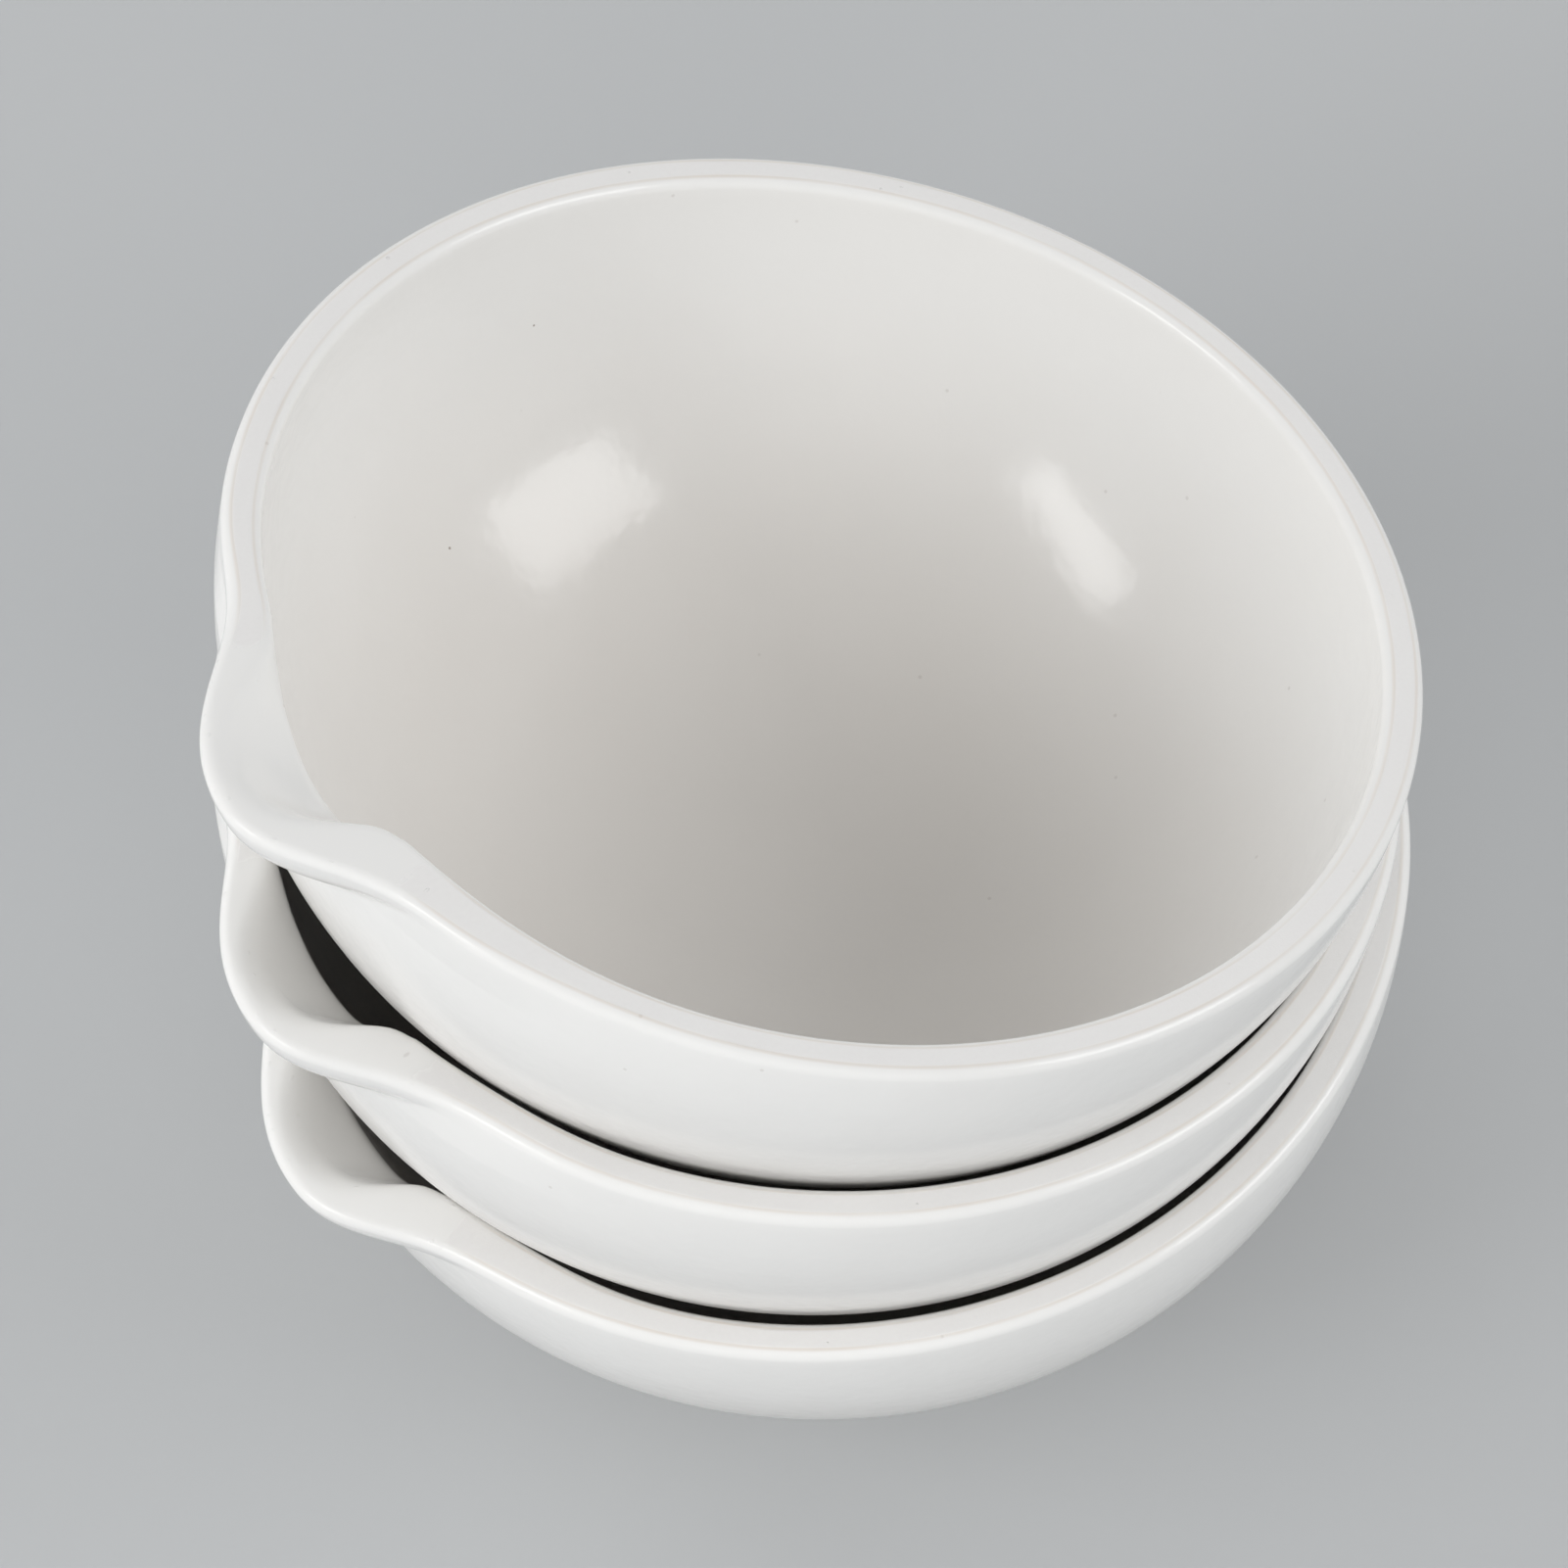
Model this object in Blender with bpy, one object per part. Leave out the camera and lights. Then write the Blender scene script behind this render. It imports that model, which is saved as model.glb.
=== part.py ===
"""Three round-bottomed porcelain evaporating dishes, nested one in another.

Each dish is a single fired shell: a deep round bowl with a ground flat rim and one
pouring lip pulled out of the wall.  The row frame stands at the middle of the bottom
dish's foot, +Z up its axis, with every pouring lip towards -X.
"""
import math
from dataclasses import dataclass

import bmesh
import bpy
from mathutils import Matrix, Vector

# Driving dimensions, in metres and degrees
RIM_RADIUS = 0.045
WALL = 0.0031
BOWL_DEPTH = 0.0394
BOWL_SQUARENESS = 2.15
FOOT_RADIUS = 0.012
EDGE_ROUND = 0.0009
FLOOR_WALL = 0.0036

# Pouring lip, pulled out of the wall at the -X side; each width is (+Y side, -Y side)
LIP_WIDTHS = (11.2, 7.1)
LIP_POWER = 2.1
LIP_DEPTH = 0.0074
LIP_SLOPE = 2.0
LIP_BAND = 0.0026
CHANNEL_CENTRE = 1.5
CHANNEL_WIDTHS = (8.3, 5.2)
CHANNEL_POWER = 2.7
CHANNEL_DEPTH = 0.0047
CHANNEL_SLOPE = 1.6
LIP_CUT_OFF = 1e-4
PINCH_ANGLE = 21.0
PINCH_WIDTH = 6.0
PINCH_DEPTH = 0.0045
PINCH_INSIDE = 0.3
SHOULDER_ANGLE = -18.0
SHOULDER_WIDTH = 9.0

# Mesh resolution
WALL_STEPS = 9
WALL_SPACING = 0.85
EDGE_STEPS = 2
LIP_SECTOR = 66.0
LIP_SEGMENTS = 22
BOWL_SEGMENTS = 36


@dataclass
class Dish:
    """One dish of the stack: its own lip, and how it lies in the dish below."""

    name: str
    reach: float
    pinch: tuple
    shoulder: float
    fullness: float
    rise: float
    shift: float
    lean: float
    heading: float
    turn: float
    colour: tuple


DISHES = (
    Dish("bottom_dish", reach=0.0047, pinch=(0.0012, 0.0), shoulder=0.0008, fullness=0.0008,
         rise=0.0, shift=0.0, lean=0.0, heading=0.0, turn=0.0, colour=(0.80, 0.79, 0.77, 1.0)),
    Dish("middle_dish", reach=0.0053, pinch=(0.0012, 0.0005), shoulder=0.0004, fullness=0.0005,
         rise=0.0167, shift=-0.00035, lean=9.57, heading=-2.2, turn=0.0,
         colour=(0.80, 0.795, 0.775, 1.0)),
    Dish("top_dish", reach=0.0065, pinch=(0.0012, -0.0005), shoulder=0.0006, fullness=0.0003,
         rise=0.01645, shift=0.0, lean=15.8, heading=-5.9, turn=-3.9,
         colour=(0.80, 0.79, 0.77, 1.0)),
)


def remove_scene_objects():
    for obj in list(bpy.data.objects):
        bpy.data.objects.remove(obj, do_unlink=True)


def bowl_radius(radius, depth, below_rim):
    """Radius of the bowl curve at a given depth below the rim."""
    share = min(max(below_rim / depth, 0.0), 1.0)
    return radius * (1.0 - share ** BOWL_SQUARENESS) ** (1.0 / BOWL_SQUARENESS)


def bowl_point(radius, depth, angle):
    """A point of the bowl curve, from the rim at 0 degrees to the pole at 90."""
    power = 2.0 / BOWL_SQUARENESS
    along = math.cos(math.radians(angle)) ** power
    down = math.sin(math.radians(angle)) ** power
    return Vector((radius * along, 0.0, -depth * down))


def angle_at_depth(depth, below_rim):
    return math.degrees(math.asin((below_rim / depth) ** (BOWL_SQUARENESS / 2.0)))


def foot_depth():
    """Depth at which the outer bowl curve is as wide as the foot."""
    share = 1.0 - (FOOT_RADIUS / RIM_RADIUS) ** BOWL_SQUARENESS
    return BOWL_DEPTH * share ** (1.0 / BOWL_SQUARENESS)


def rounded_edge(centre_radius, start_angle, end_angle):
    """Quarter round over one edge of the rim, its top level with the rim face."""
    points = []
    for step in range(EDGE_STEPS + 1):
        angle = math.radians(start_angle + (end_angle - start_angle) * step / EDGE_STEPS)
        x = centre_radius + EDGE_ROUND * math.cos(angle)
        z = EDGE_ROUND * math.sin(angle) - EDGE_ROUND
        points.append(Vector((x, 0.0, z)))
    return points


def wall_points(radius, depth, from_depth, to_depth):
    """Evenly turned points down a bowl curve between two depths."""
    start = angle_at_depth(depth, from_depth)
    end = angle_at_depth(depth, to_depth)
    points = []
    for step in range(WALL_STEPS + 1):
        angle = start + (end - start) * (step / WALL_STEPS) ** WALL_SPACING
        points.append(bowl_point(radius, depth, angle))
    return points


def shell_profile():
    """Half section of the turned shell, from the foot's centre over the rim to the floor."""
    inner_radius = RIM_RADIUS - WALL
    foot = foot_depth()
    floor = foot - FLOOR_WALL
    outer = wall_points(RIM_RADIUS, BOWL_DEPTH, 2.0 * EDGE_ROUND, foot)
    inner = wall_points(inner_radius, floor, 2.0 * EDGE_ROUND, floor)
    centre_in = Vector((0.0, 0.0, -floor))
    points = [Vector((0.0, 0.0, -foot))]
    points += reversed(outer)
    points += rounded_edge(RIM_RADIUS - EDGE_ROUND, 0.0, 90.0)
    points += rounded_edge(inner_radius + EDGE_ROUND, 90.0, 180.0)
    points += inner[:-1]
    points.append(centre_in)
    return points


def swell(angle, widths, power):
    """A smooth hump over the lip, 1 at its middle, with its own width on each side."""
    width = widths[0] if angle > 0.0 else widths[1]
    return math.exp(-0.5 * abs(angle / width) ** power)


def lip_pull(off_lip, below_rim, dish, inside):
    """How far the lip pulls the wall outwards, off_lip degrees from its middle."""
    if inside:
        spread = swell(off_lip - CHANNEL_CENTRE, CHANNEL_WIDTHS, CHANNEL_POWER)
        reach, depth, slope = dish.reach + WALL - LIP_BAND, CHANNEL_DEPTH, CHANNEL_SLOPE
    else:
        spread = swell(off_lip, LIP_WIDTHS, LIP_POWER)
        reach, depth, slope = dish.reach, LIP_DEPTH, LIP_SLOPE
    if spread < LIP_CUT_OFF:
        return 0.0
    down = below_rim / (depth * math.sqrt(spread))
    return reach * spread * max(0.0, 1.0 - down ** slope)


def drawn_in(off_lip, below_rim, dish, inside):
    """How far the wall is drawn in beside the lip, and its thick shoulder on one side."""
    beside = (abs(off_lip) - PINCH_ANGLE) / PINCH_WIDTH
    side = dish.pinch[0] if off_lip > 0.0 else dish.pinch[1]
    pinch = side * math.exp(-0.5 * beside ** 2)
    along = (off_lip - SHOULDER_ANGLE) / SHOULDER_WIDTH
    if inside:
        pinch = pinch * PINCH_INSIDE + dish.shoulder * math.exp(-0.5 * along ** 2)
    return pinch * max(0.0, 1.0 - below_rim / PINCH_DEPTH)


def pulled_wall(point, dish):
    """Where a point of the turned shell ends up once the lip is pulled."""
    radius = math.hypot(point.x, point.y)
    below_rim = max(0.0, -point.z)
    off_lip = math.degrees(math.atan2(point.y, -point.x))
    middle_of_wall = bowl_radius(RIM_RADIUS, BOWL_DEPTH, below_rim) - 0.5 * WALL
    inside = radius < middle_of_wall
    fuller = dish.fullness * max(0.0, point.x / radius) ** 2 * (1.0 - below_rim / BOWL_DEPTH)
    moved = radius + fuller + lip_pull(off_lip, below_rim, dish, inside)
    moved -= drawn_in(off_lip, below_rim, dish, inside)
    return Vector((point.x * moved / radius, point.y * moved / radius, point.z))


def spin_sector(mesh, edges, start, sweep, steps):
    """Turn the profile through one sector of the shell."""
    geometry = bmesh.ops.duplicate(mesh, geom=edges)["geom"]
    verts = [item for item in geometry if isinstance(item, bmesh.types.BMVert)]
    turn = Matrix.Rotation(math.radians(start), 3, "Z")
    bmesh.ops.rotate(mesh, verts=verts, cent=(0, 0, 0), matrix=turn)
    bmesh.ops.spin(mesh, geom=geometry, cent=(0, 0, 0), axis=(0, 0, 1),
                   angle=math.radians(sweep), steps=steps, use_duplicate=False)


def turned_shell():
    """The plain turned shell, with finer segments where the lip is pulled."""
    mesh = bmesh.new()
    verts = [mesh.verts.new(point) for point in shell_profile()]
    edges = [mesh.edges.new(pair) for pair in zip(verts, verts[1:])]
    half_sector = 0.5 * LIP_SECTOR
    spin_sector(mesh, verts + edges, 180.0 - half_sector, LIP_SECTOR, LIP_SEGMENTS)
    spin_sector(mesh, verts + edges, 180.0 + half_sector, 360.0 - LIP_SECTOR, BOWL_SEGMENTS)
    bmesh.ops.delete(mesh, geom=verts, context="VERTS")
    bmesh.ops.remove_doubles(mesh, verts=mesh.verts, dist=1e-6)
    return mesh


def dish_mesh(dish):
    mesh = turned_shell()
    for vert in mesh.verts:
        if math.hypot(vert.co.x, vert.co.y) > FOOT_RADIUS:
            vert.co = pulled_wall(vert.co, dish)
    bmesh.ops.recalc_face_normals(mesh, faces=mesh.faces)
    data = bpy.data.meshes.new(dish.name)
    mesh.to_mesh(data)
    mesh.free()
    data.shade_smooth()
    data.set_sharp_from_angle(angle=math.radians(50.0))
    return data


def porcelain(dish):
    material = bpy.data.materials.new(dish.name + "_porcelain")
    material.use_nodes = True
    shader = material.node_tree.nodes["Principled BSDF"]
    shader.inputs["Base Color"].default_value = dish.colour
    shader.inputs["Roughness"].default_value = 0.16
    shader.inputs["Metallic"].default_value = 0.0
    return material


def lean_matrix(dish):
    """Lean of a dish towards its heading, with its own small turn about its axis."""
    heading = Matrix.Rotation(math.radians(dish.heading), 4, "Z")
    lean = Matrix.Rotation(math.radians(dish.lean), 4, "Y")
    turn = Matrix.Rotation(math.radians(dish.turn), 4, "Z")
    return heading @ lean @ heading.inverted() @ turn


def add_dish(dish, below_placement):
    """Lay one dish in the dish below, and return its own placement."""
    obj = bpy.data.objects.new(dish.name, dish_mesh(dish))
    obj.data.materials.append(porcelain(dish))
    rim_centre = below_placement @ Vector((dish.shift, 0.0, dish.rise))
    placement = Matrix.Translation(rim_centre) @ lean_matrix(dish)
    obj.location = rim_centre
    obj.rotation_euler = placement.to_euler()
    bpy.context.collection.objects.link(obj)
    return placement


def main():
    remove_scene_objects()
    placement = Matrix.Translation((0.0, 0.0, foot_depth()))
    for dish in DISHES:
        placement = add_dish(dish, placement)
    bpy.context.view_layer.update()


main()
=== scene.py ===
"""Finished look of three nested porcelain evaporating dishes.

Each dish is one fired shell: a turned round bowl with a pouring lip pulled out of its wall,
glazed all over but for the flat rim, which was ground level after firing.  The finished
shells stand for the plain dishes of the frame and ride on the same three bodies.

Lengths are in metres, and angles in degrees unless a name says otherwise.
"""

import logging
import math
from dataclasses import dataclass
from enum import Enum
from typing import Any, Union

import bmesh
import bpy
from mathutils import Matrix, Vector


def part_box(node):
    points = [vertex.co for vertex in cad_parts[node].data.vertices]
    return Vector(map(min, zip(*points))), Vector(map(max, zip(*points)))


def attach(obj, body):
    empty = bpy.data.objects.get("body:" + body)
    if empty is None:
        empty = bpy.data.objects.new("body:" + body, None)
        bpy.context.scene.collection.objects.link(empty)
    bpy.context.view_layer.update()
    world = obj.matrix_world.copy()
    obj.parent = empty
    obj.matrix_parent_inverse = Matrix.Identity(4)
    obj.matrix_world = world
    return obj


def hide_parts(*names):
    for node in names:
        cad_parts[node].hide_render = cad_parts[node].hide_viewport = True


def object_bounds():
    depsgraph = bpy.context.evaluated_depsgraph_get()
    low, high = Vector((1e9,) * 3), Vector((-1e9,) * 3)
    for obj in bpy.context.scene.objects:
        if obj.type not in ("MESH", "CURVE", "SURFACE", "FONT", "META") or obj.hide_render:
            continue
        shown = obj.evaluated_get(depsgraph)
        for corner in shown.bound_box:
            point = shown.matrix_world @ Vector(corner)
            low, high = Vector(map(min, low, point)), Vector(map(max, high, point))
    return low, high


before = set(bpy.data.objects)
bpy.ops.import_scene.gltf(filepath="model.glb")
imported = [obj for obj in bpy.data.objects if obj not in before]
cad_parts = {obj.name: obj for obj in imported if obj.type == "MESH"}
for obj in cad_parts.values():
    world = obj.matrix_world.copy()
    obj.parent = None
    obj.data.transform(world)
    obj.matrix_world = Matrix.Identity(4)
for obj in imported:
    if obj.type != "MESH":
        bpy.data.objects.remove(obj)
CAD_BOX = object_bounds()

MM = 0.001
MICRON = 0.000001
MERGE_DISTANCE = 0.001 * MM
log = logging.getLogger("dishes")

Number = Union[int, float]
Pair = tuple[float, float]
Triple = tuple[float, float, float]
Colour = tuple[float, float, float, float]


# ---------------------------------------------------------------- shader arithmetic


class Value:
    """A number that varies over a surface, used in Python expressions."""

    def __init__(self, recipe: "Recipe", socket: bpy.types.NodeSocket) -> None:
        """Wrap one output socket of a recipe's node tree."""
        self.recipe = recipe
        self.socket = socket

    def _math(self, operation: str, first: Any, second: Any) -> "Value":
        """One Math node on two values."""
        return self.recipe.node("ShaderNodeMath", {"operation": operation}, {0: first, 1: second})

    def __add__(self, other: Any) -> "Value":
        """self + other."""
        return self._math("ADD", self, other)

    def __radd__(self, other: Any) -> "Value":
        """other + self."""
        return self._math("ADD", other, self)

    def __sub__(self, other: Any) -> "Value":
        """self - other."""
        return self._math("SUBTRACT", self, other)

    def __rsub__(self, other: Any) -> "Value":
        """other - self."""
        return self._math("SUBTRACT", other, self)

    def __mul__(self, other: Any) -> "Value":
        """self * other."""
        return self._math("MULTIPLY", self, other)

    def __rmul__(self, other: Any) -> "Value":
        """other * self."""
        return self._math("MULTIPLY", other, self)

    def wave(self, length: Number) -> "Value":
        """A sine wave of the given length, from -1 to 1."""
        phase = self * (2.0 * math.pi / length)
        return self._math("SINE", phase, 0.0)

    def ramp(self, low: Number, high: Number) -> "Value":
        """A smooth step from 0 at low to 1 at high.

        Args:
            low: value at which the step starts.
            high: value at which the step ends.

        Returns:
            The step, between 0 and 1.
        """
        limits = {"Value": self, "From Min": low, "From Max": high}
        return self.recipe.node("ShaderNodeMapRange", {"interpolation_type": "SMOOTHSTEP"}, limits)


@dataclass(frozen=True)
class Grain:
    """A layer of smooth noise: how wide its features are, how far it swings, how many finer layers."""

    size: float
    swing: float
    detail: float = 0.0


@dataclass(frozen=True)
class Specks:
    """Scattered round specks, and the share of the places for one that are filled."""

    spacing: float
    radius: float
    share: float
    strength: float = 1.0


class Recipe:
    """A material or a room light in the making: its node tree and its main shader."""

    # Socket numbers of a Mix node that mixes colours.
    MIX_SHARE = 0
    MIX_FIRST = 6
    MIX_SECOND = 7
    MIX_RESULT = 2
    # Part of the chosen specks' draws over which they fade in.
    FADING_SPECKS = 0.2

    def __init__(self, owner: Union[bpy.types.Material, bpy.types.World], shader: str) -> None:
        """Start the node tree of a new material or world around its main shader.

        Args:
            owner: the material or world.
            shader: name of the main shader's node.
        """
        self.owner = owner
        self.owner.use_nodes = True
        self.tree = self.owner.node_tree
        self.shader = self.tree.nodes[shader]

    def node(self, kind: str, settings: dict, inputs: dict, output: Union[int, str] = 0) -> Value:
        """Add one node.

        Args:
            kind: Blender's type name of the node.
            settings: properties of the node, set before its inputs.
            inputs: values or links for its input sockets, by name or number.
            output: name or number of the output that is handed back.

        Returns:
            The chosen output.
        """
        node = self.tree.nodes.new(kind)
        for name, value in settings.items():
            setattr(node, name, value)
        for key, value in inputs.items():
            self.plug(node.inputs[key], value)
        return Value(self, node.outputs[output])

    def plug(self, socket: bpy.types.NodeSocket, value: Any) -> None:
        """Link a varying value to a socket, or set a constant on it.

        Args:
            socket: the input socket.
            value: a Value, or a plain number or colour.
        """
        if isinstance(value, Value):
            self.tree.links.new(value.socket, socket)
        else:
            socket.default_value = value

    def attribute(self, name: str, output: str = "Fac") -> Value:
        """A value or a place that the mesh carries."""
        return self.node("ShaderNodeAttribute", {"attribute_name": name}, {}, output)

    def noise(self, place: Value, grain: Grain) -> Value:
        """Smooth noise around zero.

        Args:
            place: where on the surface the noise is read.
            grain: size and swing of the noise.

        Returns:
            The noise, from about minus half its swing to half its swing.
        """
        inputs = {"Vector": place, "Scale": 1.0 / grain.size, "Detail": grain.detail}
        return (self.node("ShaderNodeTexNoise", {"normalize": True}, inputs) - 0.5) * grain.swing

    def specks(self, place: Value, specks: Specks) -> Value:
        """Scattered round specks.

        Args:
            place: where on the surface the specks are read.
            specks: spacing, size, share and strength of the specks.

        Returns:
            The specks' strength in a speck and 0 around it, with a soft edge.
        """
        inputs = {"Vector": place, "Scale": 1.0 / specks.spacing}
        away = self.node("ShaderNodeTexVoronoi", {"feature": "F1"}, inputs, "Distance")
        tone = self.node("ShaderNodeTexVoronoi", {"feature": "F1"}, inputs, "Color")
        draw = self.node("ShaderNodeSeparateColor", {"mode": "RGB"}, {"Color": tone}, "Red")
        chosen = draw.ramp(1.0 - specks.share, 1.0 - (1.0 - self.FADING_SPECKS) * specks.share)
        reach = specks.radius / specks.spacing
        return (1.0 - away.ramp(0.5 * reach, reach)) * chosen * specks.strength

    def mixed(self, share: Any, first: Any, second: Any) -> Value:
        """A colour between two others.

        Args:
            share: 0 for the first colour, 1 for the second.
            first: a colour or a link to one.
            second: a colour or a link to one.

        Returns:
            The mixed colour.
        """
        inputs = {self.MIX_SHARE: share, self.MIX_FIRST: first, self.MIX_SECOND: second}
        return self.node("ShaderNodeMix", {"data_type": "RGBA"}, inputs, self.MIX_RESULT)

    def relief(self, height: Value) -> Value:
        """The surface normal over a relief whose height is in metres."""
        return self.node("ShaderNodeBump", {}, {"Strength": 1.0, "Distance": 1.0, "Height": height})

    def finish(self, **inputs: Any) -> Union[bpy.types.Material, bpy.types.World]:
        """Plug in the main shader.

        Args:
            inputs: values of the shader's inputs, by name, with _ for a space.

        Returns:
            The finished material or world.
        """
        for name, value in inputs.items():
            self.plug(self.shader.inputs[name.replace("_", " ")], value)
        return self.owner


def material_recipe(name: str) -> Recipe:
    """A new material around a Principled shader."""
    return Recipe(bpy.data.materials.new(name), "Principled BSDF")


def colour(red: Number, green: Number, blue: Number) -> Colour:
    """A linear colour with full opacity."""
    return (red, green, blue, 1.0)


# ---------------------------------------------------------------- finishes


class Mark(Enum):
    """What each point of a dish's mesh carries for its finish."""

    TURNED = "turned"
    BELOW = "below"
    ONTO_FLAT = "onto_flat"
    OFF_LIP = "off_lip"


class DishSurface:
    """The marks of a dish's mesh, as a finish reads them."""

    def __init__(self, recipe: Recipe) -> None:
        """Read every mark.

        Args:
            recipe: the finish in the making.
        """
        self.place = recipe.attribute(Mark.TURNED.value, "Vector")
        self.below = recipe.attribute(Mark.BELOW.value)
        self.onto_flat = recipe.attribute(Mark.ONTO_FLAT.value)
        self.off_lip = recipe.attribute(Mark.OFF_LIP.value)


@dataclass(frozen=True)
class Porcelain:
    """Glazed white porcelain with a ground, unglazed rim."""

    name: str
    glaze: Colour = colour(0.84, 0.836, 0.82)
    # Painted shade: darker, warmer glaze deeper below the rim, where the bowl's hollow lies in shade.
    deep_shade: Colour = colour(0.75, 0.722, 0.685)
    ground: Colour = colour(0.785, 0.77, 0.76)
    burnt: Colour = colour(0.60, 0.47, 0.34)
    iron: Colour = colour(0.16, 0.10, 0.06)
    glaze_roughness: float = 0.17
    ground_roughness: float = 0.78
    refraction: float = 1.5
    smear: Grain = Grain(9.0 * MM, 0.06, 2.0)

    # Border of the ground rim.
    ragged: Grain = Grain(1.1 * MM, 3.0 * MM, 3.0)
    rim_border: Pair = (-0.16 * MM, 0.02 * MM)
    lip_border: Pair = (-0.25 * MM, 0.3 * MM)

    # Colour of the glaze, with painted shade deeper below the rim.
    deep_shade_depths: Pair = (3.0 * MM, 34.0 * MM)
    deep_shade_cloud: Grain = Grain(14.0 * MM, 0.25, 2.0)
    iron_specks: Specks = Specks(6.0 * MM, 0.15 * MM, 0.20, 0.7)
    faint_specks: Specks = Specks(3.1 * MM, 0.20 * MM, 0.22, 0.16)

    # Colour of the ground rim.
    ground_grain: Grain = Grain(0.35 * MM, 0.5, 2.0)
    ground_cloud: Grain = Grain(7.0 * MM, 0.4, 1.0)
    ground_specks: Specks = Specks(5.0 * MM, 0.15 * MM, 0.10)

    # Thin glaze beside the ground rim.
    thin_start: Pair = (-0.55 * MM, -0.22 * MM)
    thin_end: Pair = (-0.22 * MM, 0.02 * MM)
    thin_patches: Grain = Grain(11.0 * MM, 1.0, 1.0)
    thin_off_lip: Pair = (0.0, 4.0 * MM)
    thin_strength: float = 0.45

    # Relief of the glaze.
    peel: Grain = Grain(1.3 * MM, 24.0 * MICRON, 1.0)
    slow_waves: Grain = Grain(6.0 * MM, 85.0 * MICRON)
    ring_wander: Grain = Grain(12.0 * MM, 1.2 * MM)
    ring_spacing: float = 2.3 * MM
    ring_height: float = 0.7 * MICRON

    # Beads along the lip.
    bead_start: Pair = (-1.5 * MM, -0.7 * MM)
    bead_end: Pair = (-0.2 * MM, 0.1 * MM)
    bead_off_lip: Pair = (-1.0 * MM, 2.0 * MM)
    lip_bead_specks: Specks = Specks(0.8 * MM, 0.2 * MM, 0.5, 30.0 * MICRON)

    # Relief of the ground rim.
    grinding: Grain = Grain(0.16 * MM, 9.0 * MICRON, 2.0)
    glassy_specks: Specks = Specks(1.6 * MM, 0.15 * MM, 0.22, 60.0 * MICRON)

    def material(self) -> bpy.types.Material:
        """Build the finish.

        Returns:
            The material, which reads the marks that a dish's mesh carries.
        """
        recipe = material_recipe(self.name)
        surface = DishSurface(recipe)
        ground = self.ground_mask(recipe, surface)
        base = recipe.mixed(ground, self.glaze_colour(recipe, surface), self.ground_colour(recipe, surface))
        base = recipe.mixed(self.thin_glaze(recipe, surface), base, self.burnt)
        relief = ground * self.ground_relief(recipe, surface)
        relief = relief + (1.0 - ground) * self.glaze_relief(recipe, surface)
        duller = ground * (self.ground_roughness - self.glaze_roughness)
        gloss = self.glaze_roughness + duller + recipe.noise(surface.place, self.smear)
        return recipe.finish(Base_Color=base, Roughness=gloss, Normal=recipe.relief(relief),
                             IOR=self.refraction)

    def ground_mask(self, recipe: Recipe, surface: DishSurface) -> Value:
        """Where the rim was ground.

        Args:
            recipe: the finish in the making.
            surface: the dish's marks.

        Returns:
            1 on the ground rim and 0 on the glaze, with a ragged border at the lip.
        """
        off_lip = surface.off_lip + recipe.noise(surface.place, self.ragged)
        return surface.onto_flat.ramp(*self.rim_border) * off_lip.ramp(*self.lip_border)

    def glaze_colour(self, recipe: Recipe, surface: DishSurface) -> Value:
        """White glaze with painted shade, darker and warmer deeper below the rim, and rare iron specks.

        Args:
            recipe: the finish in the making.
            surface: the dish's marks.

        Returns:
            The colour.
        """
        cloud = recipe.noise(surface.place, self.deep_shade_cloud)
        # Painted shade: the glaze goes over to the darker, warmer colour deeper below the rim.
        white = recipe.mixed(surface.below.ramp(*self.deep_shade_depths) + cloud, self.glaze, self.deep_shade)
        specks = recipe.specks(surface.place, self.iron_specks)
        faint = recipe.specks(surface.place, self.faint_specks)
        return recipe.mixed(specks + faint, white, self.iron)

    def ground_colour(self, recipe: Recipe, surface: DishSurface) -> Value:
        """Dull ground body with a fine grain and a few dark specks.

        Args:
            recipe: the finish in the making.
            surface: the dish's marks.

        Returns:
            The colour.
        """
        grain = recipe.noise(surface.place, self.ground_grain)
        cloud = recipe.noise(surface.place, self.ground_cloud)
        body = recipe.mixed(grain + cloud + 0.5, self.ground, self.glaze)
        return recipe.mixed(recipe.specks(surface.place, self.ground_specks), body, self.iron)

    def thin_glaze(self, recipe: Recipe, surface: DishSurface) -> Value:
        """A faint patchy line where the glaze thins out at the ground rim.

        Args:
            recipe: the finish in the making.
            surface: the dish's marks.

        Returns:
            How much of the burnt colour shows.
        """
        onto_flat = surface.onto_flat
        line = onto_flat.ramp(*self.thin_start) * (1.0 - onto_flat.ramp(*self.thin_end))
        patchy = recipe.noise(surface.place, self.thin_patches) + 0.5
        return line * patchy * surface.off_lip.ramp(*self.thin_off_lip) * self.thin_strength

    def glaze_relief(self, recipe: Recipe, surface: DishSurface) -> Value:
        """Height of the fired glaze: orange peel, slow waves, faint turning rings, beads on the lip.

        Args:
            recipe: the finish in the making.
            surface: the dish's marks.

        Returns:
            The height.
        """
        peel = recipe.noise(surface.place, self.peel)
        slow = recipe.noise(surface.place, self.slow_waves)
        wander = recipe.noise(surface.place, self.ring_wander)
        rings = (surface.below + wander).wave(self.ring_spacing) * self.ring_height
        return peel + slow + rings + self.lip_beads(recipe, surface)

    def lip_beads(self, recipe: Recipe, surface: DishSurface) -> Value:
        """Small beads of glaze along the edge of the lip.

        Args:
            recipe: the finish in the making.
            surface: the dish's marks.

        Returns:
            The beads' height.
        """
        onto_flat = surface.onto_flat
        edge = onto_flat.ramp(*self.bead_start) * (1.0 - onto_flat.ramp(*self.bead_end))
        on_lip = 1.0 - surface.off_lip.ramp(*self.bead_off_lip)
        return edge * on_lip * recipe.specks(surface.place, self.lip_bead_specks)

    def ground_relief(self, recipe: Recipe, surface: DishSurface) -> Value:
        """Height of the ground rim: grinding grain and a few glassy beads."""
        grain = recipe.noise(surface.place, self.grinding)
        return grain + recipe.specks(surface.place, self.glassy_specks)


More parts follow.
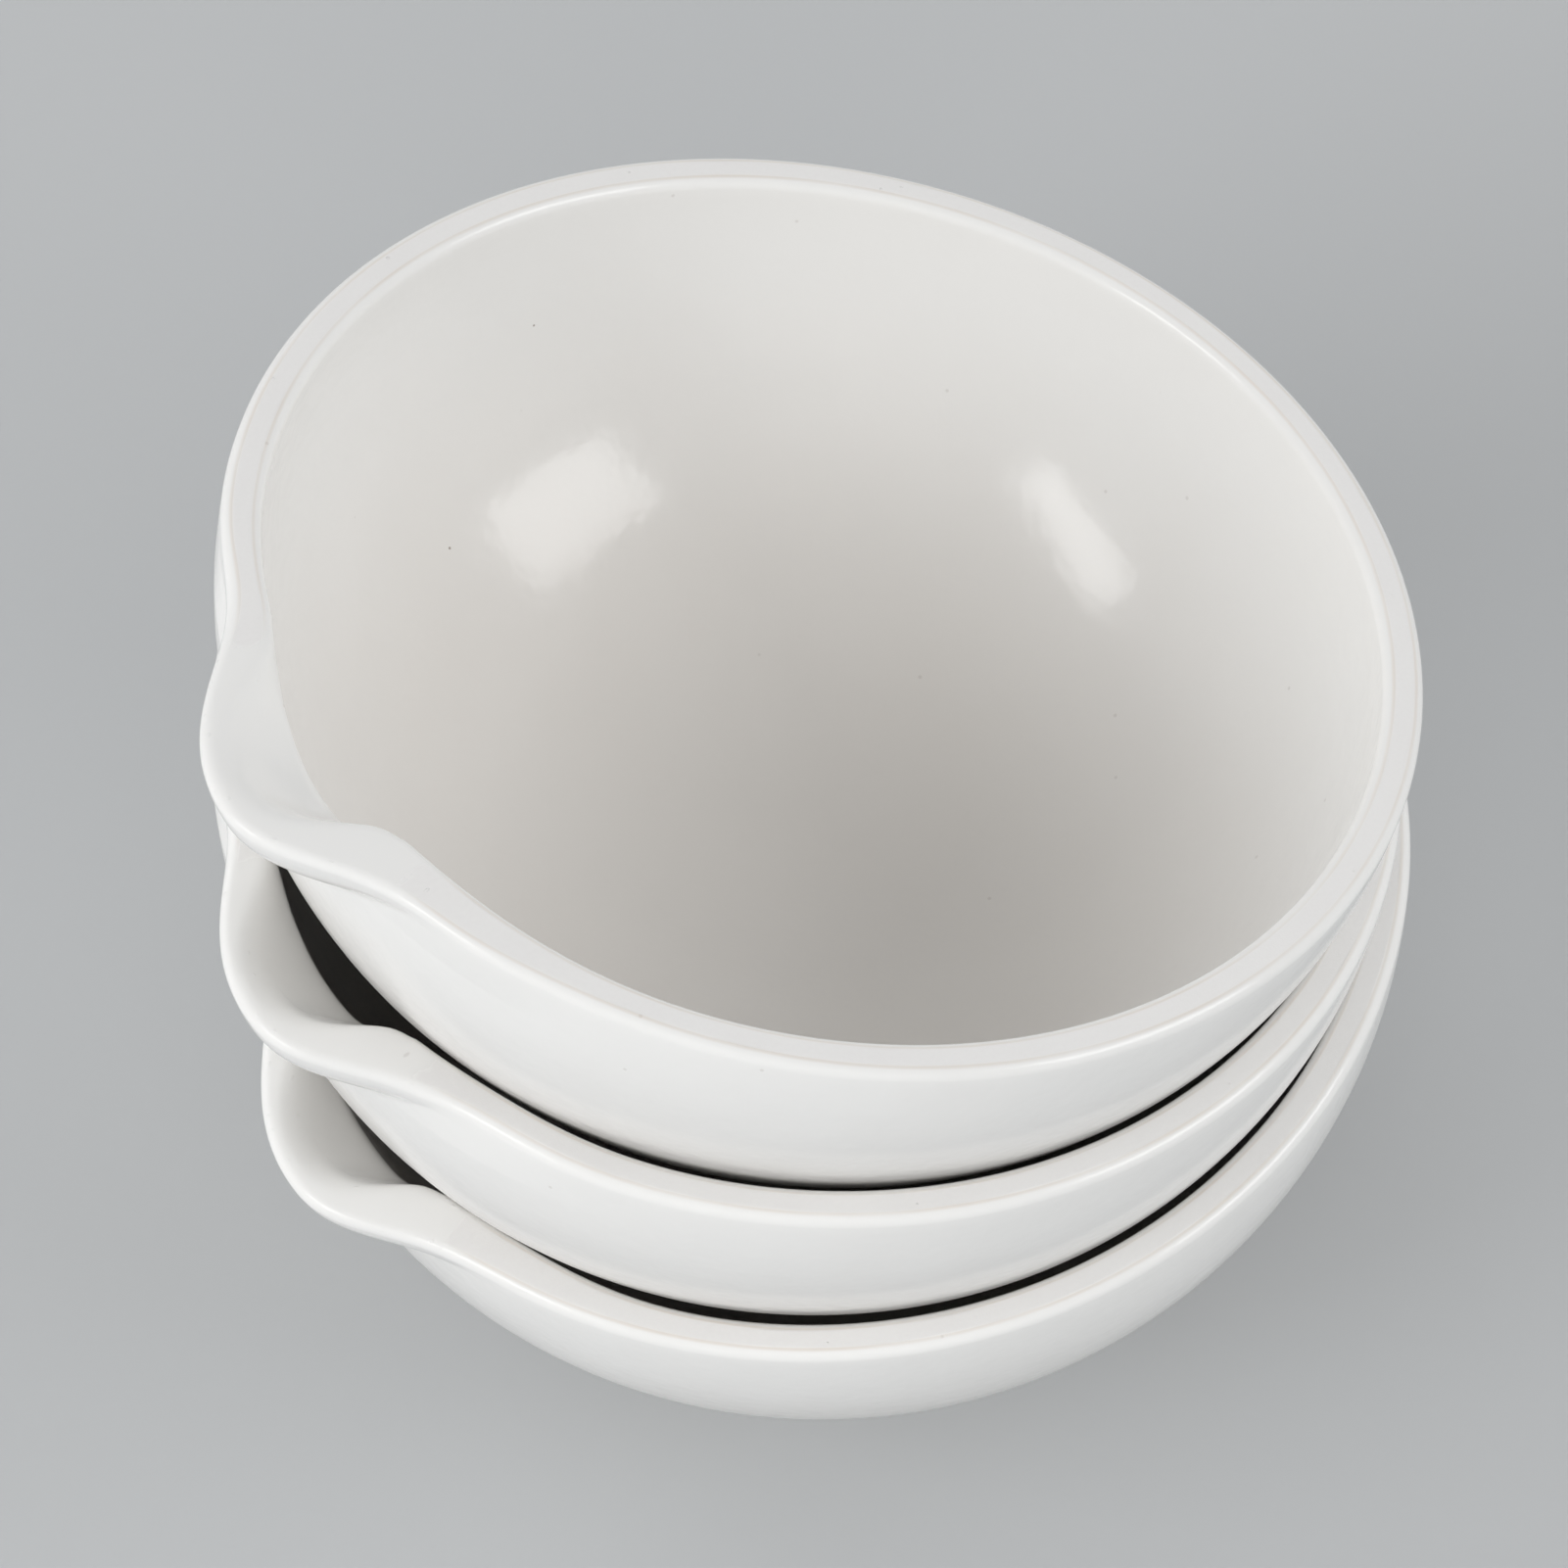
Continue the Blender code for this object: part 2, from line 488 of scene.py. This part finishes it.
@dataclass(frozen=True)
class FloorPaper:
    """Pale matte studio paper."""

    name: str = "studio_paper"
    tone: Colour = colour(0.515, 0.528, 0.535)
    shade: Colour = colour(0.49, 0.502, 0.51)
    roughness: float = 0.9
    cloud: Grain = Grain(0.3, 1.0, 2.0)
    fibre: Grain = Grain(0.5 * MM, 5.0 * MICRON, 2.0)

    def material(self) -> bpy.types.Material:
        """Build the finish.

        Returns:
            The material, whose pattern lies on the paper itself.
        """
        recipe = material_recipe(self.name)
        place = recipe.node("ShaderNodeTexCoord", {}, {}, "Object")
        base = recipe.mixed(recipe.noise(place, self.cloud) + 0.5, self.tone, self.shade)
        relief = recipe.relief(recipe.noise(place, self.fibre))
        return recipe.finish(Base_Color=base, Roughness=self.roughness, Normal=relief)


# ---------------------------------------------------------------- the shell


def bell(away: float, width: float, power: float = 2.0) -> float:
    """A smooth hump, 1 at its middle, flatter on top and steeper beside it for a higher power."""
    return math.exp(-0.5 * abs(away / width) ** power)


class Side(Enum):
    """The two walls of a shell."""

    OUTER = "outer"
    INNER = "inner"


@dataclass(frozen=True)
class Swell:
    """A smooth hump along the rim, with its own width on either side of its middle."""

    middle: float
    widths: Pair
    power: float

    def at(self, angle: float) -> float:
        """Height of the hump.

        Args:
            angle: degrees from the lip's middle.

        Returns:
            The height, 1 at the hump's middle.
        """
        away = angle - self.middle
        width = self.widths[0] if away > 0.0 else self.widths[1]
        return bell(away, width, self.power)


@dataclass(frozen=True)
class Pull:
    """How one wall is pulled outwards to make the lip."""

    swell: Swell
    depth: float
    slope: float
    extra_reach: float
    softness: float
    cut_off: float = 1e-4

    def amount(self, off_lip: float, below_rim: float, reach: float) -> float:
        """Outward pull of a point of the wall.

        Args:
            off_lip: degrees from the lip's middle.
            below_rim: depth below the rim.
            reach: how far the lip stands out of the round rim.

        Returns:
            The pull.
        """
        spread = self.swell.at(off_lip)
        if spread < self.cut_off:
            return 0.0
        left = 1.0 - (below_rim / (self.depth * math.sqrt(spread))) ** self.slope
        fade = 0.5 * (left + math.hypot(left, self.softness))
        full = 0.5 * (1.0 + math.hypot(1.0, self.softness))
        return (reach + self.extra_reach) * spread * fade / full


OUTER_LIP = Pull(Swell(middle=0.0, widths=(11.2, 7.1), power=2.1),
                 depth=0.0074, slope=2.0, extra_reach=0.0, softness=0.10)
LIP_CHANNEL = Pull(Swell(middle=1.5, widths=(8.3, 5.2), power=2.7),
                   depth=0.0047, slope=1.6, extra_reach=0.0005, softness=0.16)


@dataclass(frozen=True)
class Bowl:
    """The turned shell that every dish starts from, and the lip that is pulled out of it."""

    # The turned section.
    rim_radius: float = 0.045
    wall: float = 0.0031
    depth: float = 0.0394
    squareness: float = 2.15
    foot_radius: float = 0.012
    edge_round: float = 0.0009
    floor_wall: float = 0.0036

    # The lip, and the wall beside it.
    lip: Pull = OUTER_LIP
    channel: Pull = LIP_CHANNEL
    pinch_angle: float = 21.0
    pinch_width: float = 6.0
    pinch_depth: float = 0.0045
    pinch_inside: float = 0.3
    shoulder_angle: float = -18.0
    shoulder_width: float = 9.0
    glazed_angles: Pair = (16.5, 14.0)
    lip_zone_angle: float = 50.0
    lip_zone_depth: float = 0.018

    # How finely the shell is divided.
    lip_sector: float = 72.0
    lip_wedges: int = 12
    bowl_wedges: int = 14
    wedge_segments: int = 15
    edge_steps: int = 7
    flat_steps: int = 6
    fine_depth: float = 0.0085
    fine_steps: int = 34
    deep_steps: int = 34
    foot_steps: int = 5

    # How the channel's edge is rounded off.
    easing_passes: int = 130
    easing_factor: float = 0.5
    easing_depth: float = 0.0042
    easing_share: float = 0.75
    crease_easing: float = 0.1
    crease_swell: float = 0.01

    @property
    def inner_radius(self) -> float:
        """Radius of the inner wall at the rim."""
        return self.rim_radius - self.wall

    @property
    def foot_depth(self) -> float:
        """Depth at which the outer wall is as wide as the foot."""
        share = 1.0 - (self.foot_radius / self.rim_radius) ** self.squareness
        return self.depth * share ** (1.0 / self.squareness)

    @property
    def floor_depth(self) -> float:
        """Depth of the inner floor."""
        return self.foot_depth - self.floor_wall

    @property
    def wall_start(self) -> float:
        """Depth at which the walls' curve takes over from the rounded edge."""
        return 2.0 * self.edge_round

    def radius_at(self, below_rim: float) -> float:
        """Radius of the outer wall at a depth below the rim."""
        share = min(max(below_rim / self.depth, 0.0), 1.0)
        return self.rim_radius * (1.0 - share ** self.squareness) ** (1.0 / self.squareness)

    def wall_curve(self, radius: float, depth: float, end_depth: float) -> list[Vector]:
        """Points down one wall, close together near the rim.

        Args:
            radius: radius of the wall at the rim.
            depth: depth of the curve's pole.
            end_depth: depth of the last point.

        Returns:
            The points, from just below the rounded edge.
        """
        power = 2.0 / self.squareness
        first = self.angle_at(self.wall_start / depth)
        middle = self.angle_at(self.fine_depth / depth)
        last = self.angle_at(end_depth / depth)
        angles = [first + (middle - first) * step / self.fine_steps for step in range(self.fine_steps)]
        angles += [middle + (last - middle) * step / self.deep_steps for step in range(self.deep_steps + 1)]
        return [Vector((radius * max(math.cos(angle), 0.0) ** power, 0.0, -depth * math.sin(angle) ** power))
                for angle in angles]

    def angle_at(self, share: float) -> float:
        """Angle of the wall curve at a share of its depth, in radians."""
        return math.asin(min(share, 1.0) ** (0.5 * self.squareness))

    def edge(self, centre_radius: float, start: float, end: float) -> list[Vector]:
        """Quarter round over one edge of the rim.

        Args:
            centre_radius: distance of the round's centre from the axis.
            start: first angle of the round.
            end: last angle of the round.

        Returns:
            The points of the round, its top level with the rim.
        """
        points = []
        for step in range(self.edge_steps + 1):
            angle = math.radians(start + (end - start) * step / self.edge_steps)
            across = centre_radius + self.edge_round * math.cos(angle)
            points.append(Vector((across, 0.0, self.edge_round * (math.sin(angle) - 1.0))))
        return points

    def section(self) -> list[Vector]:
        """Half section of the shell.

        Returns:
            The points, from the foot's centre over the rim to the floor's centre.
        """
        outer_edge = self.rim_radius - self.edge_round
        inner_edge = self.inner_radius + self.edge_round
        foot = [Vector((self.foot_radius * step / self.foot_steps, 0.0, -self.foot_depth))
                for step in range(self.foot_steps)]
        flat = [Vector((outer_edge + (inner_edge - outer_edge) * step / self.flat_steps, 0.0, 0.0))
                for step in range(1, self.flat_steps)]
        outer = self.wall_curve(self.rim_radius, self.depth, self.foot_depth)
        inner = self.wall_curve(self.inner_radius, self.floor_depth, self.floor_depth)
        inner[-1].x = 0.0
        return (foot + outer[::-1] + self.edge(outer_edge, 0.0, 90.0) + flat
                + self.edge(inner_edge, 90.0, 180.0) + inner)

    def turned(self) -> bmesh.types.BMesh:
        """The plain turned shell, made of equal wedges, those of the lip's sector finer.

        Returns:
            The closed mesh, its rim level with the origin and its lip side towards -X.
        """
        mesh = bmesh.new()
        verts = [mesh.verts.new(point) for point in self.section()]
        section = verts + [mesh.edges.new(pair) for pair in zip(verts, verts[1:])]
        lip_start = 180.0 - 0.5 * self.lip_sector
        lip_end = lip_start + self.lip_sector
        self.spin_sector(mesh, section, lip_start, self.lip_sector, self.lip_wedges)
        self.spin_sector(mesh, section, lip_end, 360.0 - self.lip_sector, self.bowl_wedges)
        bmesh.ops.delete(mesh, geom=verts, context="VERTS")
        bmesh.ops.remove_doubles(mesh, verts=mesh.verts, dist=MERGE_DISTANCE)
        bmesh.ops.recalc_face_normals(mesh, faces=mesh.faces)
        return mesh

    def spin_sector(self, mesh: bmesh.types.BMesh, section: list, start: float, sweep: float,
                    wedges: int) -> None:
        """Spin the section through one wedge, and lay copies of the wedge side by side.

        Args:
            mesh: the mesh that holds the section.
            section: the section's points and edges.
            start: angle at which the sector starts.
            sweep: width of the sector.
            wedges: number of equal wedges in the sector.
        """
        first = bmesh.ops.duplicate(mesh, geom=section)["geom"]
        self.turn(mesh, first, start)
        known = set(mesh.verts) | set(mesh.edges) | set(mesh.faces)
        bmesh.ops.spin(mesh, geom=first, cent=(0, 0, 0), axis=(0, 0, 1), angle=math.radians(sweep / wedges),
                       steps=self.wedge_segments, use_duplicate=False)
        made = [item for kind in (mesh.verts, mesh.edges, mesh.faces) for item in kind if item not in known]
        wedge = made + first
        for number in range(1, wedges):
            copy = bmesh.ops.duplicate(mesh, geom=wedge)["geom"]
            self.turn(mesh, copy, number * sweep / wedges)

    def turn(self, mesh: bmesh.types.BMesh, geometry: list, angle: float) -> None:
        """Turn some geometry about the axis.

        Args:
            mesh: the mesh that holds the geometry.
            geometry: points, edges and faces.
            angle: how far to turn it.
        """
        verts = [item for item in geometry if isinstance(item, bmesh.types.BMVert)]
        rotation = Matrix.Rotation(math.radians(angle), 3, "Z")
        bmesh.ops.rotate(mesh, verts=verts, cent=(0, 0, 0), matrix=rotation)

    def outer_share(self, radius: float, below_rim: float) -> float:
        """How much a point belongs to the outer wall.

        Args:
            radius: distance of the point from the axis.
            below_rim: depth below the rim.

        Returns:
            0 on the inner wall and 1 on the outer wall, going over evenly across the flat rim.
        """
        if below_rim > 0.5 * self.edge_round:
            return float(radius > self.radius_at(below_rim) - 0.5 * self.wall)
        across = (radius - self.inner_radius - self.edge_round) / (self.wall - 2.0 * self.edge_round)
        return min(max(across, 0.0), 1.0)

    def easing(self, off_lip: float, below_rim: float, outer_share: float) -> float:
        """How much a point of the channel's edge is rounded off.

        Args:
            off_lip: degrees from the lip's middle.
            below_rim: depth below the rim.
            outer_share: 0 on the inner wall and 1 on the outer wall.

        Returns:
            The easing, from 0 to 1.
        """
        down = max(0.0, 1.0 - below_rim / self.easing_depth)
        across = max(0.0, 1.0 - outer_share / self.easing_share)
        swell = self.channel.swell.at(off_lip)
        in_crease = swell > self.crease_swell and below_rim < self.fine_depth and across > 0.0
        return max(swell * math.sqrt(down * across), self.crease_easing if in_crease else 0.0)

    def onto_flat(self, radius: float, below_rim: float) -> float:
        """How far a point lies onto the flat of the rim.

        Args:
            radius: distance of the point from the axis.
            below_rim: depth below the rim.

        Returns:
            The distance from the nearer edge of the flat, negative off the flat.
        """
        from_inner = radius - self.inner_radius - self.edge_round
        from_outer = self.rim_radius - self.edge_round - radius
        return min(from_inner, from_outer) - below_rim

    def off_glazed_lip(self, off_lip: float) -> float:
        """Distance along the rim from the end of the glazed lip, negative on the lip."""
        limit = self.glazed_angles[0] if off_lip > 0.0 else self.glazed_angles[1]
        return math.radians(abs(off_lip) - limit) * self.rim_radius


@dataclass
class Dish:
    """One dish of the stack: its own lip, and how it lies in the dish below."""

    bowl: Bowl
    node: str
    body: str
    reach: float
    pinch: Pair
    shoulder: float
    fullness: float
    rise: float = 0.0
    shift: float = 0.0
    lean: float = 0.0
    heading: float = 0.0
    turn: float = 0.0
    pattern_start: float = 0.0

    def placement(self, below: Matrix) -> Matrix:
        """Place of the dish in the dish below it.

        Args:
            below: place of the dish below.

        Returns:
            Place of this dish's rim centre and axis.
        """
        heading = Matrix.Rotation(math.radians(self.heading), 4, "Z")
        lean = Matrix.Rotation(math.radians(self.lean), 4, "Y")
        turn = Matrix.Rotation(math.radians(self.turn), 4, "Z")
        centre = below @ Vector((self.shift, 0.0, self.rise))
        return Matrix.Translation(centre) @ heading @ lean @ heading.inverted() @ turn

    def wall_pull(self, side: Side, off_lip: float, below_rim: float) -> float:
        """How far one wall moves outwards when the lip is pulled and pinched.

        Args:
            side: the inner or the outer wall.
            off_lip: degrees from the lip's middle.
            below_rim: depth below the rim.

        Returns:
            The move, negative towards the axis.
        """
        bowl = self.bowl
        pull = bowl.lip if side is Side.OUTER else bowl.channel
        pinch = self.pinch[0] if off_lip > 0.0 else self.pinch[1]
        pinch *= bell(abs(off_lip) - bowl.pinch_angle, bowl.pinch_width)
        if side is Side.INNER:
            shoulder = self.shoulder * bell(off_lip - bowl.shoulder_angle, bowl.shoulder_width)
            pinch = pinch * bowl.pinch_inside + shoulder
        pinch *= max(0.0, 1.0 - below_rim / bowl.pinch_depth)
        return pull.amount(off_lip, below_rim, self.reach) - pinch

    def moved_radius(self, point: Vector, off_lip: float, below_rim: float, outer: float) -> float:
        """Distance from the axis that a point has once the lip is pulled and the back filled out.

        Args:
            point: the point on the plain turned shell.
            off_lip: degrees from the lip's middle.
            below_rim: depth below the rim.
            outer: 0 on the inner wall and 1 on the outer wall.

        Returns:
            The distance.
        """
        radius = math.hypot(point.x, point.y)
        moved = radius
        if abs(off_lip) < self.bowl.lip_zone_angle and below_rim < self.bowl.lip_zone_depth:
            moved += outer * self.wall_pull(Side.OUTER, off_lip, below_rim)
            moved += (1.0 - outer) * self.wall_pull(Side.INNER, off_lip, below_rim)
        towards_back = max(0.0, point.x / radius) ** 2
        return moved + self.fullness * towards_back * (1.0 - below_rim / self.bowl.depth)

    def shape(self, mesh: bmesh.types.BMesh) -> None:
        """Pull the lip out of the turned shell, and mark on each point where it lies.

        Args:
            mesh: the shell's mesh.
        """
        bowl = self.bowl
        turned = mesh.verts.layers.float_vector.new(Mark.TURNED.value)
        below = mesh.verts.layers.float.new(Mark.BELOW.value)
        onto_flat = mesh.verts.layers.float.new(Mark.ONTO_FLAT.value)
        off_glazed = mesh.verts.layers.float.new(Mark.OFF_LIP.value)
        channel = []
        for vert in mesh.verts:
            radius = math.hypot(vert.co.x, vert.co.y)
            below_rim = max(0.0, -vert.co.z)
            off_lip = math.degrees(math.atan2(vert.co.y, -vert.co.x))
            vert[turned] = vert.co + Vector((self.pattern_start, 0.0, 0.0))
            vert[below] = below_rim
            vert[onto_flat] = bowl.onto_flat(radius, below_rim)
            vert[off_glazed] = bowl.off_glazed_lip(off_lip)
            if radius <= bowl.foot_radius:
                continue
            outer = bowl.outer_share(radius, below_rim)
            ease = bowl.easing(off_lip, below_rim, outer)
            if ease > 0.0:
                channel.append((ease, vert))
            stretch = self.moved_radius(vert.co, off_lip, below_rim, outer) / radius
            vert.co.x *= stretch
            vert.co.y *= stretch
        self.ease_channel(mesh, channel)

    def ease_channel(self, mesh: bmesh.types.BMesh, channel: list) -> None:
        """Round the channel's edge, with more passes where a point is to be eased more.

        Args:
            mesh: the shell's mesh.
            channel: pairs of an easing and a point.
        """
        passes = self.bowl.easing_passes
        for number in range(passes):
            eased = [vert for ease, vert in channel if ease * passes > number + 0.5]
            bmesh.ops.smooth_vert(mesh, verts=eased, factor=self.bowl.easing_factor, use_axis_x=True,
                                  use_axis_y=True, use_axis_z=True)

    def build(self, turned: bmesh.types.BMesh, below: Matrix) -> tuple[bpy.types.Object, Matrix]:
        """Make the finished shell in its place.

        Args:
            turned: the plain turned shell.
            below: place of the dish below.

        Returns:
            The shell and its own place.
        """
        place = self.placement(below)
        mesh = turned.copy()
        self.shape(mesh)
        bmesh.ops.transform(mesh, matrix=place, verts=mesh.verts)
        bmesh.ops.recalc_face_normals(mesh, faces=mesh.faces)
        data = bpy.data.meshes.new(self.node + "_porcelain")
        mesh.to_mesh(data)
        mesh.free()
        data.shade_smooth()
        shell = bpy.data.objects.new(self.node + "_porcelain", data)
        bpy.context.scene.collection.objects.link(shell)
        return shell, place

    def dress(self, shell: bpy.types.Object, material: bpy.types.Material) -> None:
        """Give the shell its finish and its body, in place of the frame's plain dish.

        Args:
            shell: the finished shell.
            material: the porcelain.
        """
        shell.data.materials.append(material)
        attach(shell, self.body)
        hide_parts(self.node)

    def report(self, shell: bpy.types.Object) -> None:
        """Log how large the shell is beside the frame's plain dish.

        Args:
            shell: the finished shell.
        """
        low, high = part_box(self.node)
        corners = [shell.matrix_world @ Vector(corner) for corner in shell.bound_box]
        spare = [min(corner[axis] for corner in corners) - low[axis] for axis in range(3)]
        spare += [high[axis] - max(corner[axis] for corner in corners) for axis in range(3)]
        log.info("%s: %d faces, spare to the frame %s mm", shell.name, len(shell.data.polygons),
                 [round(side / MM, 3) for side in spare])


def dish_stack(bowl: Bowl) -> list[Dish]:
    """The three dishes, each leaning a little more than the one below.

    Args:
        bowl: the turned shell that all three start from.

    Returns:
        The dishes from the bottom up.
    """
    return [
        Dish(bowl, "bottom_dish", "bottom", reach=0.0047, pinch=(0.0012, 0.0), shoulder=0.0008,
             fullness=0.0008),
        Dish(bowl, "middle_dish", "middle", reach=0.0053, pinch=(0.0012, 0.0005), shoulder=0.0004,
             fullness=0.0005, rise=0.0167, shift=-0.00035, lean=9.57, heading=-2.2, pattern_start=0.2),
        Dish(bowl, "top_dish", "top", reach=0.0065, pinch=(0.0012, -0.0005), shoulder=0.0006,
             fullness=0.0003, rise=0.01645, lean=15.8, heading=-5.9, turn=-3.9, pattern_start=0.4),
    ]


# ---------------------------------------------------------------- the studio


def direction(azimuth: float, elevation: float) -> Vector:
    """Unit vector towards an azimuth and an elevation."""
    level = math.cos(math.radians(elevation))
    return Vector((level * math.cos(math.radians(azimuth)), level * math.sin(math.radians(azimuth)),
                   math.sin(math.radians(elevation))))


def facing(azimuth: float, elevation: float, roll: float) -> Matrix:
    """Turn of a camera or a lamp that looks back at the middle.

    Args:
        azimuth: where it stands, round the middle.
        elevation: how high it stands, seen from the middle.
        roll: how far it is turned about its own line of sight.

    Returns:
        The turn.
    """
    back = direction(azimuth, elevation)
    right = Vector((0.0, 0.0, 1.0)).cross(back).normalized()
    up = back.cross(right)
    level = Matrix((right, up, back)).transposed().to_4x4()
    return level @ Matrix.Rotation(math.radians(roll), 4, "Z")


@dataclass(frozen=True)
class Softbox:
    """A bright diffuser lamp that shows as a soft window in the glaze."""

    name: str
    azimuth: float
    elevation: float
    brightness: float
    height: float
    width: float = 0.56
    roll: float = -15.0
    distance: float = 1.0
    mirrored: bool = True

    @property
    def power(self) -> float:
        """Power at which the whole diffuser has the lamp's brightness."""
        return self.brightness * math.pi * self.width * self.height

    def build(self, middle: Vector) -> bpy.types.Object:
        """Hang the lamp.

        Args:
            middle: point that the lamp faces.

        Returns:
            The lamp.
        """
        light = bpy.data.lights.new(self.name, "AREA")
        light.shape = "RECTANGLE"
        light.size = self.width
        light.size_y = self.height
        light.energy = self.power
        lamp = bpy.data.objects.new(self.name, light)
        stand = middle + self.distance * direction(self.azimuth, self.elevation)
        turn = facing(self.azimuth, self.elevation, self.roll)
        lamp.matrix_world = Matrix.Translation(stand) @ turn
        lamp.visible_glossy = self.mirrored
        lamp.visible_camera = False
        bpy.context.scene.collection.objects.link(lamp)
        return lamp


@dataclass(frozen=True)
class FillPanel(Softbox):
    """A wide dim panel that lifts the shade and does not show in the glaze."""

    height: float = 0.8
    width: float = 1.0
    roll: float = 0.0
    distance: float = 1.6
    mirrored: bool = False


@dataclass(frozen=True)
class Studio:
    """Pale floor, even room light, lamps and camera around the dishes."""

    floor_radius: float = 1.4
    floor_segments: int = 96
    wall_light: float = 0.58
    ceiling_light: float = 0.36
    wall_edges: Pair = (30.0, 52.0)
    room_tint: Triple = (0.985, 0.99, 1.0)
    camera_azimuth: float = -121.97
    camera_elevation: float = 57.32
    camera_roll: float = -5.353
    camera_distance: float = 0.5105
    aim_offset: Triple = (0.00047, 0.00215, 0.00312)
    sensor_mm: float = 36.0
    lens_mm: float = 152.734
    lamps: tuple[Softbox, ...] = (
        Softbox("right_softbox", azimuth=-54.5, elevation=27.0, brightness=3.6, height=0.40),
        Softbox("left_softbox", azimuth=171.2, elevation=40.0, brightness=4.8, height=0.22),
        FillPanel("front_fill", azimuth=-122.0, elevation=45.0, brightness=1.75),
        FillPanel("left_fill", azimuth=178.0, elevation=20.0, brightness=3.0),
        FillPanel("back_fill", azimuth=90.0, elevation=15.0, brightness=3.0),
        FillPanel("right_fill", azimuth=0.0, elevation=15.0, brightness=1.4),
    )

    def floor(self) -> bpy.types.Object:
        """Lay the floor paper.

        Returns:
            The floor.
        """
        mesh = bmesh.new()
        bmesh.ops.create_circle(mesh, cap_ends=True, segments=self.floor_segments, radius=self.floor_radius)
        data = bpy.data.meshes.new("floor")
        mesh.to_mesh(data)
        mesh.free()
        data.materials.append(FloorPaper().material())
        floor = bpy.data.objects.new("floor", data)
        bpy.context.scene.collection.objects.link(floor)
        return floor

    def room(self) -> None:
        """Light the room evenly all round, brighter near the floor, and show colours as they are."""
        recipe = Recipe(bpy.data.worlds.new("studio_room"), "Background")
        place = recipe.node("ShaderNodeTexCoord", {}, {}, "Generated")
        up = recipe.node("ShaderNodeSeparateXYZ", {}, {"Vector": place}, "Z")
        low, high = (math.sin(math.radians(edge)) for edge in self.wall_edges)
        strength = self.wall_light + up.ramp(low, high) * (self.ceiling_light - self.wall_light)
        scene = bpy.context.scene
        scene.world = recipe.finish(Color=colour(*self.room_tint), Strength=strength)
        scene.view_settings.view_transform = "Standard"
        scene.view_settings.look = "None"

    def camera(self, middle: Vector) -> bpy.types.Object:
        """Set up the camera.

        Args:
            middle: point that the camera looks at.

        Returns:
            The camera, made the scene's own.
        """
        data = bpy.data.cameras.new("camera")
        data.sensor_width = self.sensor_mm
        data.lens = self.lens_mm
        camera = bpy.data.objects.new("camera", data)
        stand = middle + self.camera_distance * direction(self.camera_azimuth, self.camera_elevation)
        turn = facing(self.camera_azimuth, self.camera_elevation, self.camera_roll)
        camera.matrix_world = Matrix.Translation(stand) @ turn
        bpy.context.scene.collection.objects.link(camera)
        bpy.context.scene.camera = camera
        return camera

    def build(self, low: Vector, high: Vector) -> None:
        """Set up the whole studio around the object.

        Args:
            low: lowest corner of the object's box.
            high: highest corner of the object's box.
        """
        middle = 0.5 * (Vector(low) + Vector(high)) + Vector(self.aim_offset)
        self.floor()
        self.room()
        for lamp in self.lamps:
            lamp.build(middle)
            log.info("%s hung", lamp.name)
        camera = self.camera(middle)
        log.info("camera at %s", [round(value, 4) for value in camera.location])


def main() -> None:
    """Build the dishes from the bottom up, dress them, set up the studio and note the sizes."""
    logging.basicConfig(level=logging.INFO, format="%(name)s: %(message)s")
    bowl = Bowl()
    material = Porcelain("white_porcelain").material()
    turned = bowl.turned()
    place = Matrix.Translation((0.0, 0.0, bowl.foot_depth))
    for dish in dish_stack(bowl):
        shell, place = dish.build(turned, place)
        dish.dress(shell, material)
        dish.report(shell)
    turned.free()
    Studio().build(*CAD_BOX)
    log.info("sizes written")


if __name__ == "__main__":
    main()
